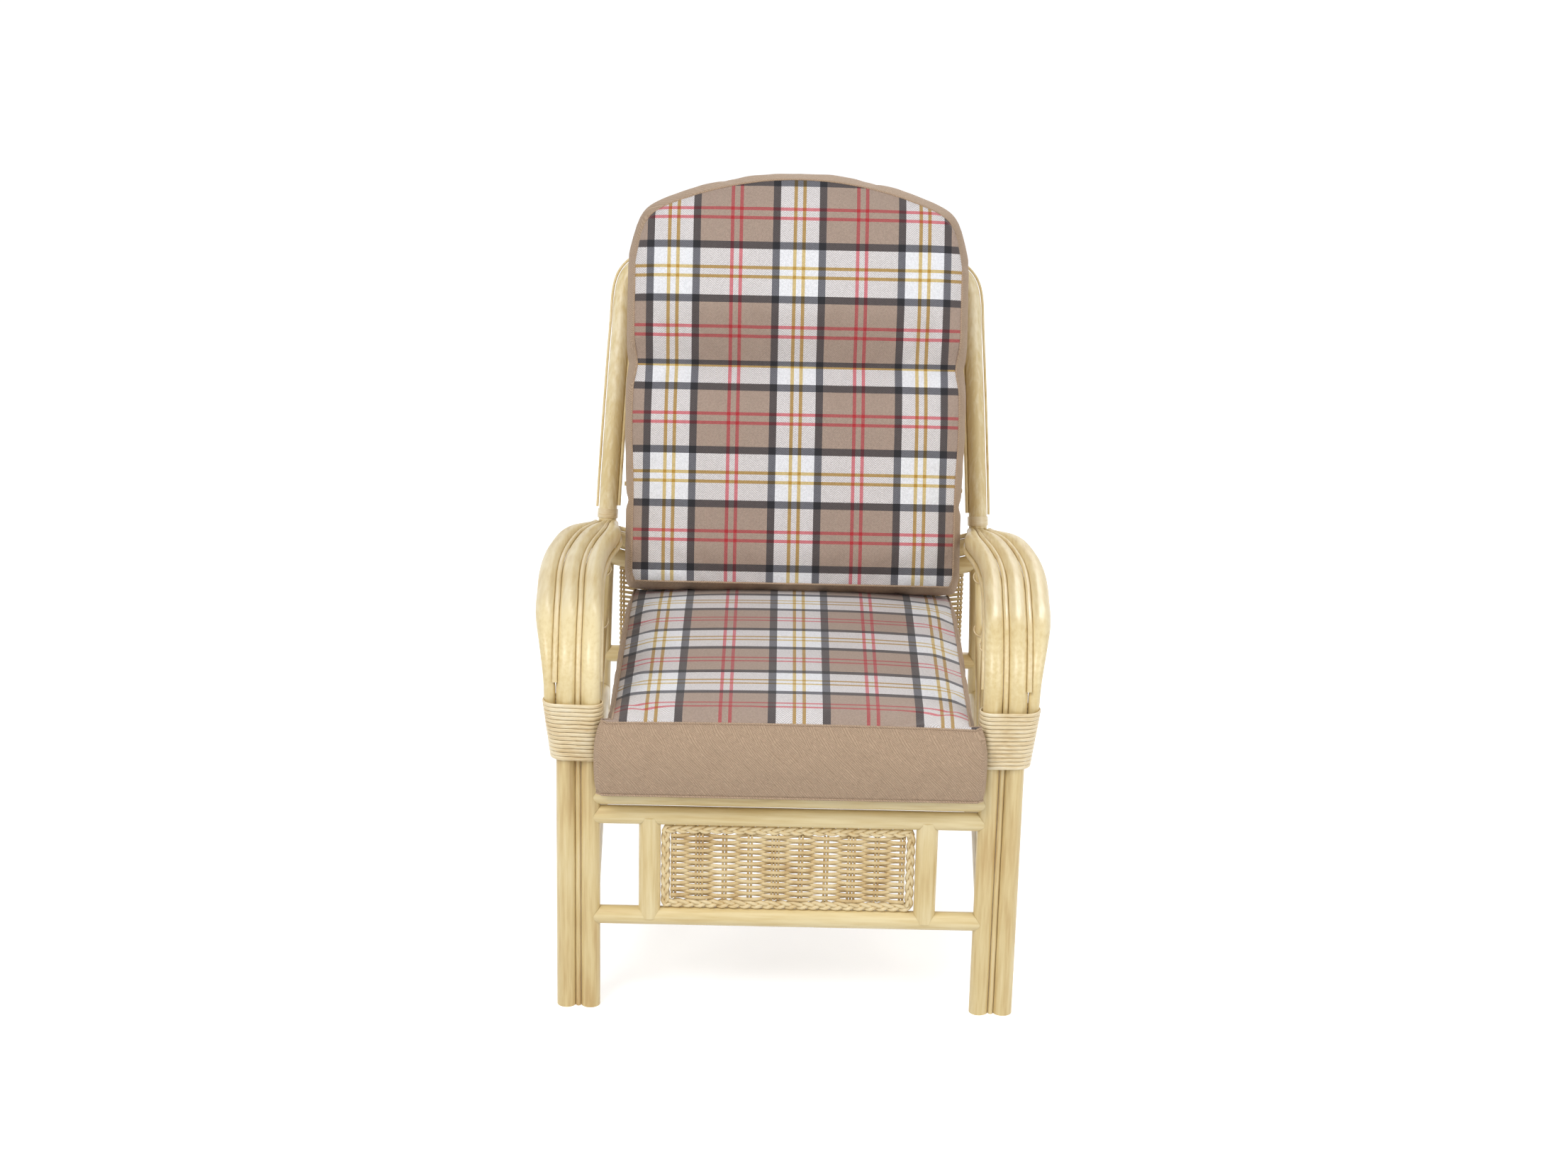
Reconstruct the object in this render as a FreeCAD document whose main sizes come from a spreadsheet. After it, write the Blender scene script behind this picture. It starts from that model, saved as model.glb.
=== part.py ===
import FreeCAD, Part
import math
import os
import Sketcher
from FreeCAD import Placement, Rotation, Vector

# Cane armchair, in millimetres: front faces -Y, +X is the viewer's right, +Z is up.
# Everything is modelled with y = 0 on the axis of the front legs, and every piece has the
# same Placement, which brings the middle of the chair's depth to y = 0.

SIZES = [
    # Cane stock
    ("pole_diameter", 27.0),
    ("post_diameter", 28.0),
    ("rail_diameter", 26.0),
    ("strip_diameter", 7.0),
    ("fit_gap", 0.3),
    # Front legs and arms
    ("leg_clearance", 6.0),
    ("leg_spacing", "=seat_width + 2 * leg_clearance + pole_diameter"),
    ("leg_gap", 6.0),
    ("arm_gap", 5.0),
    ("arm_height", 553.0),
    ("arm_bend", 95.0),
    ("arm_spring", "=arm_height - arm_bend"),
    ("arm_bulge", 12.0),
    ("arm_draw", 14.5),
    ("arm_drop", 64.0),
    ("strap_height", "=arm_height - arm_drop"),
    ("tongue_diameter", 13.0),
    ("tongue_gap", 1.6),
    ("tongue_strip_diameter", 4.0),
    # Cane binding round the leg and the foot of the outer arm pole
    ("binding_drop", 10.0),
    ("binding_reach", 84.0),
    ("binding_clearance", 3.0),
    ("binding_top", "=arm_spring - binding_drop"),
    ("binding_bottom", "=max(arm_spring - binding_reach; seat_height + binding_clearance)"),
    ("binding_wire", 3.6),
    ("binding_gap", 0.9),
    ("binding_pitch", 5.3),
    ("binding_turns", "=round((binding_top - binding_bottom) / binding_pitch)"),
    # Back posts
    ("post_splay", 51.0),
    ("post_draw", 7.0),
    ("post_foot_spacing", "=leg_spacing + post_splay"),
    ("post_top_spacing", "=leg_spacing - post_draw"),
    ("post_foot_setback", 685.0),
    ("knee_height", 380.0),
    ("knee_setback", 630.0),
    ("knee_blend", 60.0),
    ("recline", 19.0),
    ("corner_height", 828.0),
    ("corner_radius", 50.0),
    ("post_strip_diameter", 4.0),
    ("bead_diameter", 5.0),
    ("strap_width", 14.0),
    ("strap_thickness", 1.5),
    # Back filling
    ("lumbar_drop", 21.0),
    ("lumbar_height", "=strap_height - lumbar_drop"),
    ("lumbar_dip", 40.0),
    ("lumbar_gap", 1.0),
    ("spindle_diameter", 9.0),
    ("spindle_count", 7),
    ("spindle_margin", 28.0),
    ("spindle_pitch", "=(post_top_spacing - 2 * spindle_margin) / (spindle_count - 1)"),
    ("back_cross_diameter", 7.0),
    ("back_cross_lift", 77.0),
    ("back_cross_low", "=lumbar_height + back_cross_lift"),
    ("back_cross_rise", 58.0),
    ("wicker_thickness", 6.0),
    # Seat frame and apron
    ("seat_height", 333.0),
    ("seat_tilt", 3.8),
    ("front_rail_gap", 3.0),
    ("stretcher_height", 139.0),
    ("apron_post_diameter", 30.0),
    ("apron_post_inset", 81.5),
    ("apron_post_spacing", "=leg_spacing - 2 * apron_post_inset"),
    ("border_width", 13.0),
    ("border_thickness", 10.0),
    ("side_rail_height", 258.0),
    ("side_stretcher_height", 176.0),
    ("bearer_diameter", 20.0),
    ("bearer_pitch", 130.0),
    ("bearer_count", 4),
    # Lattice under the arms
    ("upright_diameter", 10.0),
    ("upright_setback", 250.0),
    ("upright_pitch", 100.0),
    ("upright_count", 3),
    ("side_cross_diameter", 8.0),
    ("side_cross_drop", 28.0),
    ("side_cross_pitch", 84.0),
    ("tie_wire", 2.4),
    # Cushions
    ("seat_width", 504.0),
    ("seat_depth", 598.0),
    ("seat_overhang", 42.0),
    ("seat_thickness", 104.0),
    ("seat_crown", 22.0),
    ("roll_step", 15.0),
    ("roll_width", "=seat_width + 2 * roll_step"),
    ("roll_depth", 15.5),
    ("back_spread", 4.0),
    ("back_width", "=seat_width + back_spread"),
    ("back_length", 624.0),
    ("back_arch", 78.0),
    ("back_thickness", 114.0),
    ("back_crown", 14.0),
    ("channel_height", 335.0),
    ("channel_depth", 24.0),
    ("side_swell", 5.0),
    ("cover_wall", 16.0),
]

doc = FreeCAD.newDocument("cane_armchair")
sheet = doc.addObject("Spreadsheet::Sheet", "Sizes")
for row, (alias, value) in enumerate(SIZES, start=1):
    sheet.set(f"A{row}", alias)
    sheet.setAlias(f"B{row}", alias)
for row, (alias, value) in enumerate(SIZES, start=1):
    sheet.set(f"B{row}", str(value))
doc.recompute()


def size(alias):
    return float(sheet.get(alias))


def count(alias):
    return int(round(size(alias)))


# Values worked out from the sheet

X = Vector(1, 0, 0)
Y = Vector(0, 1, 0)
Z = Vector(0, 0, 1)
pole_r = size("pole_diameter") / 2
post_r = size("post_diameter") / 2
rail_r = size("rail_diameter") / 2
strip_r = size("strip_diameter") / 2
fit = size("fit_gap")
leg_inner = size("leg_spacing") / 2
leg_middle = leg_inner + 2 * pole_r + size("leg_gap")
bend_r = size("arm_bend")
leg_top = size("arm_spring") - 2 * size("pole_diameter")
tilt = math.radians(size("seat_tilt"))
recline = math.radians(size("recline"))


def smooth(value):
    """0 below 0, 1 above 1 and a soft step between."""
    part = min(max(value, 0.0), 1.0)
    return part * part * (3 - 2 * part)


def mix(start, end, share):
    return start + (end - start) * share


def post_y(z):
    """Setback of the post's axis: it leans forward up to the knee, then reclines."""
    rise = z - size("knee_height")
    if rise < 0:
        sweep = size("post_foot_setback") - size("knee_setback")
        return size("knee_setback") + sweep * (rise / size("knee_height")) ** 2
    blend = size("knee_blend")
    return size("knee_setback") + math.tan(recline) * (math.hypot(rise, blend) - blend)


def post_x(z):
    foot = size("post_foot_spacing") / 2
    top = size("post_top_spacing") / 2
    return foot - (foot - top) * (z / size("corner_height")) ** 2


def post_point(z):
    return Vector(post_x(z), post_y(z), z)


def post_direction(z):
    step = 0.5
    return (post_point(z + step) - post_point(z - step)).normalize()


def seat_z(y):
    """Height of the plane that the seat cushion lies on."""
    return size("seat_height") - y * math.tan(tilt)


arm_end = post_y(size("strap_height")) - 0.85 * post_r
corner_direction = post_direction(size("corner_height"))
corner_inward = (-X - corner_direction * corner_direction.dot(-X)).normalize()
corner_turn = math.acos(corner_direction.dot(-X))


def corner_outward(angle):
    return corner_direction * math.sin(angle) - corner_inward * math.cos(angle)


corner_centre = post_point(size("corner_height")) + corner_inward * size("corner_radius")
corner_steps = 4
top_rail_end = corner_centre + corner_outward(corner_turn) * size("corner_radius") - X * post_r

roll_front_low = 10.0
chair_front = -size("seat_overhang") * math.cos(tilt) + roll_front_low * math.sin(tilt)
chair_rear = top_rail_end.y + post_r
home = Placement(Vector(0, -(chair_front + chair_rear) / 2, 0), Rotation())

subparts = []


def keep(piece, label):
    piece.Label = label
    piece.Placement = home
    subparts.append(piece)


def add_shape(label, shape):
    piece = doc.addObject("Part::Feature", label)
    piece.Shape = shape
    keep(piece, label)


def mirrored(shape):
    return shape.mirror(Vector(), X)


def add_pair(name, shape):
    add_shape(name + "_right", shape)
    add_shape(name + "_left", mirrored(shape))


def ring(centre, direction, radius):
    wire = Part.Wire(Part.makeCircle(radius))
    wire.Placement = Placement(centre, Rotation(Z, direction))
    return wire


def cane(points, radii):
    """A bent cane: a loft through circles square to the line of points."""
    wires = []
    last = len(points) - 1
    for i, (point, radius) in enumerate(zip(points, radii)):
        direction = points[min(i + 1, last)] - points[max(i - 1, 0)]
        wires.append(ring(point, direction.normalize(), radius))
    return Part.makeLoft(wires, True, False)


def piped(points, radius):
    """A thin round cane swept along a smooth line through the points."""
    line = Part.BSplineCurve()
    line.interpolate(points)
    way = line.tangent(line.FirstParameter)[0]
    profile = ring(points[0], way, radius)
    return Part.Wire(line.toShape()).makePipeShell([profile], True, False)


def rod(start, end, radius):
    return Part.makeCylinder(radius, (end - start).Length, start, end - start)


# Front legs and arms: three poles side by side over the arm, two of them down to the floor

arm_run = arm_end - bend_r
drop_r = (arm_run ** 2 + size("arm_drop") ** 2) / (2 * size("arm_drop"))


def arm_z(y):
    """Height of the arm's axis behind its bend."""
    return size("arm_height") - drop_r + math.sqrt(drop_r ** 2 - (y - bend_r) ** 2)


def arm_stations():
    """Points along the leg and arm: setback, height, outward normal and share of the bend."""
    stations = []
    for share in (0, 0.5, 1):
        stations.append((0.0, mix(leg_top, size("arm_spring"), share), -Y, 0.0))
    bend_steps = 6
    for i in range(1, bend_steps + 1):
        angle = math.pi / 2 * i / bend_steps
        normal = Z * math.sin(angle) - Y * math.cos(angle)
        y = bend_r * (1 - math.cos(angle))
        z = size("arm_spring") + bend_r * math.sin(angle)
        stations.append((y, z, normal, i / bend_steps))
    arm_steps = 10
    for i in range(1, arm_steps + 1):
        y = mix(bend_r, arm_end, i / arm_steps)
        angle = math.asin((y - bend_r) / drop_r)
        normal = Z * math.cos(angle) + Y * math.sin(angle)
        stations.append((y, arm_z(y), normal, 1.0))
    return stations


def straight_leg(arm, line):
    """Joins the straight leg below to the bent cane above."""
    point, radius = line[0]
    leg = Part.makeCylinder(radius, point.z, Vector(point.x, point.y, 0))
    return leg.fuse(arm)


def tongue_share(y):
    """How far the pole is shaved down towards its end at the post."""
    return smooth((y / arm_end - 0.76) / 0.24)


def middle_x(y):
    share = y / arm_end
    swell = size("arm_bulge") * math.sin(math.pi * share) ** 2
    return leg_middle + swell - size("arm_draw") * share ** 3


def pole_radius(y):
    return mix(pole_r, size("tongue_diameter") / 2, tongue_share(y))


def free_gap(y, bend, leg_value):
    on_arm = mix(size("arm_gap"), size("tongue_gap"), tongue_share(y))
    return mix(leg_value, on_arm, smooth(bend))


outer_foot_r = 2.0
outer_spring_r = 7.8
outer_foot_z = leg_top


def outer_radius(y, z, bend):
    """The outer pole is a wedge in the binding and has its full size on the arm."""
    rise = (z - outer_foot_z) / (size("arm_spring") - outer_foot_z)
    wedge = mix(outer_foot_r, outer_spring_r, min(rise, 1.0))
    return mix(wedge, pole_radius(y), smooth(bend))


def inner_x(y, bend=1.0):
    return middle_x(y) - 2 * pole_radius(y) - free_gap(y, bend, size("leg_gap"))


def outer_x(y, z, bend):
    return middle_x(y) + pole_radius(y) + outer_radius(y, z, bend) + free_gap(y, bend, fit)


def valley(left, left_r, right, right_r, normal, radius):
    """Centre of a strip that lies on two poles, on their outward side."""
    row = right - left
    left_reach = left_r + radius + fit
    right_reach = right_r + radius + fit
    along = (left_reach ** 2 - right_reach ** 2 + row.Length ** 2) / (2 * row.Length)
    height = math.sqrt(left_reach ** 2 - along ** 2)
    return left + row * (along / row.Length) + normal * height


def post_solid(extra):
    steps = 16
    below_floor = -post_r
    points = [post_point(mix(below_floor, size("corner_height"), i / steps)) for i in range(steps + 1)]
    for i in range(1, corner_steps + 1):
        outward = corner_outward(corner_turn * i / corner_steps)
        points.append(corner_centre + outward * size("corner_radius"))
    points.append(top_rail_end)
    solid = cane(points, [post_r + extra] * len(points))
    span = size("post_foot_spacing")
    depth = 4 * post_r
    floor = Part.makeBox(span, span, depth, Vector(0, size("post_foot_setback") - span / 2, -depth))
    return solid.cut(floor)


post_tool = post_solid(fit)


def make_arms():
    inner, middle, outer, inner_strip, outer_strip, under_strip = [], [], [], [], [], []
    slant = math.sqrt(0.5)
    for y, z, normal, bend in arm_stations():
        radius = pole_radius(y)
        strip = mix(strip_r, size("tongue_strip_diameter") / 2, tongue_share(y))
        inner_point = Vector(inner_x(y, bend), y, z)
        middle_point = Vector(middle_x(y), y, z)
        inner.append((inner_point, radius))
        middle.append((middle_point, radius))
        place = valley(inner_point, radius, middle_point, radius, normal, strip)
        inner_strip.append((place, strip))
        outer_point = Vector(outer_x(y, z, bend), y, z)
        outer_r = outer_radius(y, z, bend)
        outer.append((outer_point, outer_r))
        if bend > 0:
            place = valley(middle_point, radius, outer_point, outer_r, normal, strip)
            outer_strip.append((place, strip))
        if bend > 0 and y < arm_end - post_r:
            below = (X + normal) * -slant
            under_strip.append((inner_point + below * (radius + strip + 2 * fit), strip))
    lines = {
        "inner_arm": inner,
        "middle_arm": middle,
        "outer_arm": outer,
        "inner_arm_strip": inner_strip,
        "outer_arm_strip": outer_strip,
        "under_arm_strip": under_strip,
    }
    for name, line in lines.items():
        arm = cane(*zip(*line)).cut(post_tool)
        to_floor = line in (inner, middle, inner_strip)
        add_pair(name, straight_leg(arm, line) if to_floor else arm)


# Binding: one unbroken wound cane round the poles at the top of the front leg

def biarc(start, start_way, end, end_way):
    """Two arcs from start to end that leave and arrive along the given directions."""
    span = end - start
    ways = start_way + end_way
    spread = 2 * (1 - start_way.dot(end_way))
    along = span.dot(ways)
    reach = (math.sqrt(along * along + spread * span.dot(span)) - along) / spread
    middle = (start + start_way * reach + end - end_way * reach) * 0.5
    return [arc(start, start_way, middle), arc(end, end_way * -1, middle)]


def arc(start, way, end):
    chord = end - start
    along = Vector(chord).normalize()
    side = (way - along * way.dot(along)).normalize()
    half_angle = math.acos(max(-1.0, min(1.0, way.dot(along))))
    middle = (start + end) * 0.5 + side * (chord.Length / 2 * math.tan(half_angle / 2))
    return Part.Arc(start, middle, end).toShape()


def binding_path():
    turns = count("binding_turns")
    wire_r = size("binding_wire") / 2
    end_r = pole_r + size("binding_gap") + wire_r
    low = size("binding_bottom")
    pitch = (size("binding_top") - low) / turns

    def place(turn, share, inner_end, side):
        z = low + pitch * (turn + share)
        wedge_edge = outer_x(0, z, 0) + outer_radius(0, z, 0) + 3 * fit
        x = leg_inner if inner_end else max(leg_middle, wedge_edge - pole_r)
        return Vector(x, side * end_r, z)

    line_share = 0.2
    edges = []
    for turn in range(turns + 1):
        back_start = place(turn, 0, False, 1)
        back_end = place(turn, line_share, True, 1)
        edges.append(Part.makeLine(back_start, back_end))
        if turn == turns:
            break
        front_start = place(turn, 0.5, True, -1)
        front_end = place(turn, 0.5 + line_share, False, -1)
        next_start = place(turn + 1, 0, False, 1)
        next_end = place(turn + 1, line_share, True, 1)
        back_way = (back_end - back_start).normalize()
        front_way = (front_end - front_start).normalize()
        next_way = (next_end - next_start).normalize()
        edges += biarc(back_end, back_way, front_start, front_way)
        edges.append(Part.makeLine(front_start, front_end))
        edges += biarc(front_end, front_way, next_start, next_way)
    return edges


def least_gap(edges, diameter):
    """Least gap of the wound tube to itself, measured on points along it."""
    points = []
    for edge in edges:
        points += edge.discretize(8)[:-1]
    per_turn = len(points) // count("binding_turns")
    nearest = min(
        (points[i] - points[j]).Length
        for i in range(len(points))
        for j in range(i + per_turn // 2, len(points))
    )
    return nearest - diameter


def make_bindings():
    edges = binding_path()
    path = Part.Wire(Part.__sortEdges__(edges))
    start = edges[0].Vertexes[0].Point
    way = (edges[0].Vertexes[1].Point - start).normalize()
    profile = ring(start, way, size("binding_wire") / 2)
    tube = path.makePipeShell([profile], True, False)
    print("binding least gap to itself", round(least_gap(edges, size("binding_wire")), 2), "mm")
    add_pair("front_binding", tube)


# Back posts with their strips, and the rail between their bent tops

def post_line(start_z, offset):
    """Points beside the post, from a height up to the end of its top corner."""
    points = []
    steps = 8
    for i in range(steps + 1):
        z = mix(start_z, size("corner_height"), i / steps)
        direction = post_direction(z)
        inward = (-X - direction * direction.dot(-X)).normalize()
        points.append(post_point(z) + offset(inward, direction))
    return points


def make_posts():
    add_pair("back_post", post_solid(0))
    tongue_top = size("strap_height") + size("tongue_diameter") / 2
    strap_centre_z = tongue_top + fit + 0.4 * size("strap_width")
    direction = post_direction(strap_centre_z)
    start = post_point(strap_centre_z) - direction * (size("strap_width") / 2)
    end = start + direction * size("strap_width")
    band = rod(start, end, post_r + fit + size("strap_thickness"))
    add_pair("rear_strap", band.cut(post_tool))

    strip_z = end.z + size("bead_diameter") * math.sin(recline) + 3 * fit
    strip = size("post_strip_diameter") / 2
    reach = post_r + 3 * fit + strip
    line = post_line(strip_z, lambda inward, way: inward * -reach)
    for i in range(1, corner_steps + 1):
        outward = corner_outward(corner_turn * i / corner_steps)
        line.append(corner_centre + outward * (size("corner_radius") + reach))
    add_pair("post_outer_strip", cane(line, [strip] * len(line)))

    bead = size("bead_diameter") / 2
    bead_lift = 1.0
    bead_z = end.z + post_r * math.sin(recline) + bead_lift
    bead_reach = post_r + fit + bead
    spread = math.asin((bead + fit / 2) / bead_reach)
    beads = []
    for side in (-1, 1):
        def offset(inward, way, side=side):
            across = way.cross(inward)
            return (inward * math.cos(spread) + across * (side * math.sin(spread))) * bead_reach
        beads.append(piped(post_line(bead_z, offset), bead))
    add_pair("post_inner_beads", Part.makeCompound(beads))

    rail = doc.addObject("Part::Cylinder", "top_rail")
    rail.setExpression("Radius", "Sizes.post_diameter / 2")
    rail.Height = 2 * (top_rail_end.x - fit)
    keep(rail, "top_rail")
    start = Vector(fit - top_rail_end.x, top_rail_end.y, top_rail_end.z)
    rail.Placement = home.multiply(Placement(start, Rotation(Z, X)))


# Back filling: lumbar rails, spindles, cross canes and the woven lower panel

lumbar_middle = Vector(0, post_y(size("lumbar_height")), size("lumbar_height"))
back_slope = Vector(0, top_rail_end.y, top_rail_end.z) - lumbar_middle
back_slope.normalize()
lumbar_half = post_x(size("lumbar_height"))
lumbar_r = (lumbar_half ** 2 + size("lumbar_dip") ** 2) / (2 * size("lumbar_dip"))
lumbar_centre = lumbar_middle + back_slope * (lumbar_r - size("lumbar_dip"))
lumbar_step = size("rail_diameter") + size("lumbar_gap")


def lumbar_point(radius, x):
    """A point on an arc that dips in the plane of the back."""
    return lumbar_centre + X * x - back_slope * math.sqrt(radius * radius - x * x)


def lumbar_cane(radius, half, cane_r):
    ends = [lumbar_point(radius, x) for x in (-half, 0, half)]
    way = X - back_slope * (half / math.sqrt(radius * radius - half * half))
    profile = ring(ends[0], way.normalize(), cane_r)
    return Part.Wire(Part.Arc(*ends).toShape()).makePipeShell([profile], True, False)


strip_line_r = lumbar_r - rail_r - fit - strip_r
spindle_r = size("spindle_diameter") / 2
back_cross_r = size("back_cross_diameter") / 2


def spindle_line(x):
    """Foot and head of a spindle, from the lumbar strip to the top rail."""
    foot_gap = fit + 0.3 * spindle_r
    head_gap = fit + 0.1 * spindle_r
    foot = lumbar_point(strip_line_r, x) + back_slope * (strip_r + foot_gap)
    head = Vector(x, top_rail_end.y, top_rail_end.z) - back_slope * (post_r + head_gap)
    return foot, head


def tie(point, first_way, second_way, across, first_r, second_r):
    """A ring of cane round two crossing canes, whose first lies at point."""
    wire_r = size("tie_wire") / 2
    reach = first_r + second_r + fit
    centre = point + across * (reach - first_r + (second_r - first_r) / 2)
    axis = across.cross((first_way + second_way).normalize())
    ring_r = first_r + second_r + 2 * fit + wire_r
    return Part.makeTorus(ring_r, wire_r, centre, axis)


def make_back_filling():
    tools = Part.makeCompound([post_tool, mirrored(post_tool)])
    for name, radius in (("upper_lumbar_rail", lumbar_r), ("lower_lumbar_rail", lumbar_r + lumbar_step)):
        add_shape(name, lumbar_cane(radius, lumbar_half - 0.6 * post_r, rail_r).cut(tools))
    strip_half = lumbar_half - post_r - size("strap_thickness") - 4 * fit
    add_shape("lumbar_strip", lumbar_cane(strip_line_r, strip_half, strip_r))

    spindles, crosses, ties = [], [], []
    first = -(count("spindle_count") - 1) / 2 * size("spindle_pitch")
    places = [first + i * size("spindle_pitch") for i in range(count("spindle_count"))]
    for x in places:
        foot, head = spindle_line(x)
        spindles.append(rod(foot, head, spindle_r).cut(tools))
    behind = back_slope.cross(X)
    for level in (size("back_cross_low"), size("back_cross_low") + size("back_cross_rise")):
        for x in places:
            foot = spindle_line(x)[0]
            point = foot + back_slope * ((level - foot.z) / back_slope.z)
            ties.append(tie(point, back_slope, X, behind, spindle_r, back_cross_r))
        middle = point - X * point.x + behind * (spindle_r + back_cross_r + fit)
        half = post_x(level + size("back_cross_rise")) - post_r - size("bead_diameter") - 3 * fit
        crosses.append(rod(middle - X * half, middle + X * half, back_cross_r))
    add_shape("back_spindles", Part.makeCompound(spindles))
    add_shape("back_cross_canes", Part.makeCompound(crosses))
    add_shape("back_ties", Part.makeCompound(ties))

    panel_half = lumbar_half - post_r - size("strip_diameter")
    panel_low = rear_rail_z + rail_r + fit
    top_r = lumbar_r + lumbar_step + rail_r + 2 * fit
    top = [Vector(x, rear_rail_y, lumbar_point(top_r, x).z) for x in (-panel_half, 0, panel_half)]
    left_low = Vector(-panel_half, rear_rail_y, panel_low)
    right_low = Vector(panel_half, rear_rail_y, panel_low)
    outline = [
        Part.makeLine(left_low, right_low),
        Part.makeLine(right_low, top[2]),
        Part.Arc(*top).toShape(),
        Part.makeLine(top[0], left_low),
    ]
    face = Part.Face(Part.Wire(Part.__sortEdges__(outline)))
    thick = size("wicker_thickness")
    panel = face.extrude(Y * thick)
    panel.translate(Y * (-thick / 2))
    add_shape("lower_back_panel", panel)


# Seat frame: rails that are scribed to the round legs and posts

upper_rail_z = seat_z(0) - (rail_r + fit) / math.cos(tilt)
lower_rail_z = upper_rail_z - 2 * rail_r - size("front_rail_gap")
rear_rail_y = post_y(0.85 * size("seat_height"))
rear_rail_z = seat_z(rear_rail_y) - (rail_r + fit) / math.cos(tilt)


def leg_tools():
    legs = []
    for side in (-1, 1):
        leg = doc.addObject("Part::Cylinder", "leg_tool")
        leg.setExpression("Radius", "Sizes.pole_diameter / 2 + Sizes.fit_gap")
        leg.setExpression("Height", "Sizes.arm_spring")
        leg.Placement = Placement(Vector(side * leg_inner, 0, 0), Rotation())
        legs.append(leg)
    tools = doc.addObject("Part::MultiFuse", "leg_tools")
    tools.Shapes = legs
    return tools


def cross_rail(name, z, tools):
    """A rail across the front, with hollowed ends that fit the legs."""
    stock = doc.addObject("Part::Cylinder", name + "_stock")
    stock.setExpression("Radius", "Sizes.rail_diameter / 2")
    stock.setExpression("Height", "Sizes.leg_spacing")
    stock.Placement = Placement(Vector(-leg_inner, 0, z), Rotation(Z, X))
    rail = doc.addObject("Part::Cut", name)
    rail.Base = stock
    rail.Tool = tools
    keep(rail, name)
    return stock


def apron_post(name, side, rails):
    stock = doc.addObject("Part::Cylinder", name + "_stock")
    stock.setExpression("Radius", "Sizes.apron_post_diameter / 2")
    stock.Height = lower_rail_z - size("stretcher_height")
    place = Vector(side * size("apron_post_spacing") / 2, 0, size("stretcher_height"))
    stock.Placement = Placement(place, Rotation())
    post = doc.addObject("Part::Cut", name)
    post.Base = stock
    post.Tool = rails
    keep(post, name)


def rectangle(sketch, name, width, low, height):
    """A rectangle centred on the upright axis, with its sizes bound to the sheet."""
    base = sketch.GeometryCount
    corners = [Vector(-9, 1, 0), Vector(9, 1, 0), Vector(9, 8, 0), Vector(-9, 8, 0)]
    for i in range(4):
        sketch.addGeometry(Part.LineSegment(corners[i], corners[(i + 1) % 4]))
    for i in range(4):
        sketch.addConstraint(Sketcher.Constraint("Coincident", base + i, 2, base + (i + 1) % 4, 1))
    sketch.addConstraint(Sketcher.Constraint("Horizontal", base + 2))
    sketch.addConstraint(Sketcher.Constraint("Vertical", base + 1))
    sketch.addConstraint(Sketcher.Constraint("Vertical", base + 3))
    sketch.addConstraint(Sketcher.Constraint("Symmetric", base, 1, base, 2, -2))
    bound = [
        ("width", Sketcher.Constraint("DistanceX", base, 1, base, 2, 18), width),
        ("low", Sketcher.Constraint("DistanceY", -1, 1, base, 1, 1), low),
        ("height", Sketcher.Constraint("DistanceY", base + 1, 1, base + 1, 2, 7), height),
    ]
    for word, constraint, expression in bound:
        index = sketch.addConstraint(constraint)
        sketch.renameConstraint(index, name + "_" + word)
        sketch.setExpression("Constraints." + name + "_" + word, expression)


def padded_body(name, rectangles, thickness):
    body = doc.addObject("PartDesign::Body", name)
    sketch = body.newObject("Sketcher::SketchObject", name + "_sketch")
    plane = next(item for item in body.Origin.OriginFeatures if item.Role == "XZ_Plane")
    sketch.AttachmentSupport = [(plane, "")]
    sketch.MapMode = "FlatFace"
    for word, width, low, height in rectangles:
        rectangle(sketch, word, width, low, height)
    pad = body.newObject("PartDesign::Pad", name + "_pad")
    pad.Profile = sketch
    pad.setExpression("Length", thickness)
    pad.Midplane = True
    keep(body, name)


def make_apron():
    """Two front rails, the stretcher, two short posts and the woven panel in its border."""
    tools = leg_tools()
    cross_rail("upper_front_rail", upper_rail_z, tools)
    lower = cross_rail("lower_front_rail", lower_rail_z, tools)
    stretcher = cross_rail("apron_stretcher", size("stretcher_height"), tools)
    rails = doc.addObject("Part::MultiFuse", "apron_rail_tools")
    wide = []
    for stock in (lower, stretcher):
        tool = doc.addObject("Part::Cylinder", stock.Name + "_tool")
        tool.setExpression("Radius", "Sizes.rail_diameter / 2 + Sizes.fit_gap")
        tool.setExpression("Height", "Sizes.leg_spacing")
        tool.Placement = stock.Placement
        wide.append(tool)
    rails.Shapes = wide
    apron_post("apron_post_right", 1, rails)
    apron_post("apron_post_left", -1, rails)

    width = "Sizes.apron_post_spacing - Sizes.apron_post_diameter - 2 * Sizes.fit_gap"
    low = "Sizes.stretcher_height + Sizes.rail_diameter / 2 + Sizes.fit_gap"
    top_drop = "1.5 * Sizes.rail_diameter + Sizes.front_rail_gap + Sizes.fit_gap"
    seat_drop = "(Sizes.rail_diameter / 2 + Sizes.fit_gap) / cos(Sizes.seat_tilt * 1 deg)"
    top = f"Sizes.seat_height - {seat_drop} - ({top_drop})"
    height = f"{top} - ({low})"
    inset = "(Sizes.border_width + Sizes.fit_gap)"
    outside = ("outside", width, low, height)
    hole = (
        "hole",
        f"{width} - 2 * Sizes.border_width",
        f"{low} + Sizes.border_width",
        f"{height} - 2 * Sizes.border_width",
    )
    filling = ("filling", f"{width} - 2 * {inset}", f"{low} + {inset}", f"{height} - 2 * {inset}")
    padded_body("apron_border", [outside, hole], "Sizes.border_thickness")
    padded_body("apron_panel", [filling], "Sizes.wicker_thickness")


def side_line(height, slope):
    """Ends of a side rail: the axis of the inner leg pole and the axis of the post."""
    front = Vector(leg_inner, 0, height)
    rear_z = height - post_y(height) * slope
    return front, post_point(rear_z)


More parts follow.
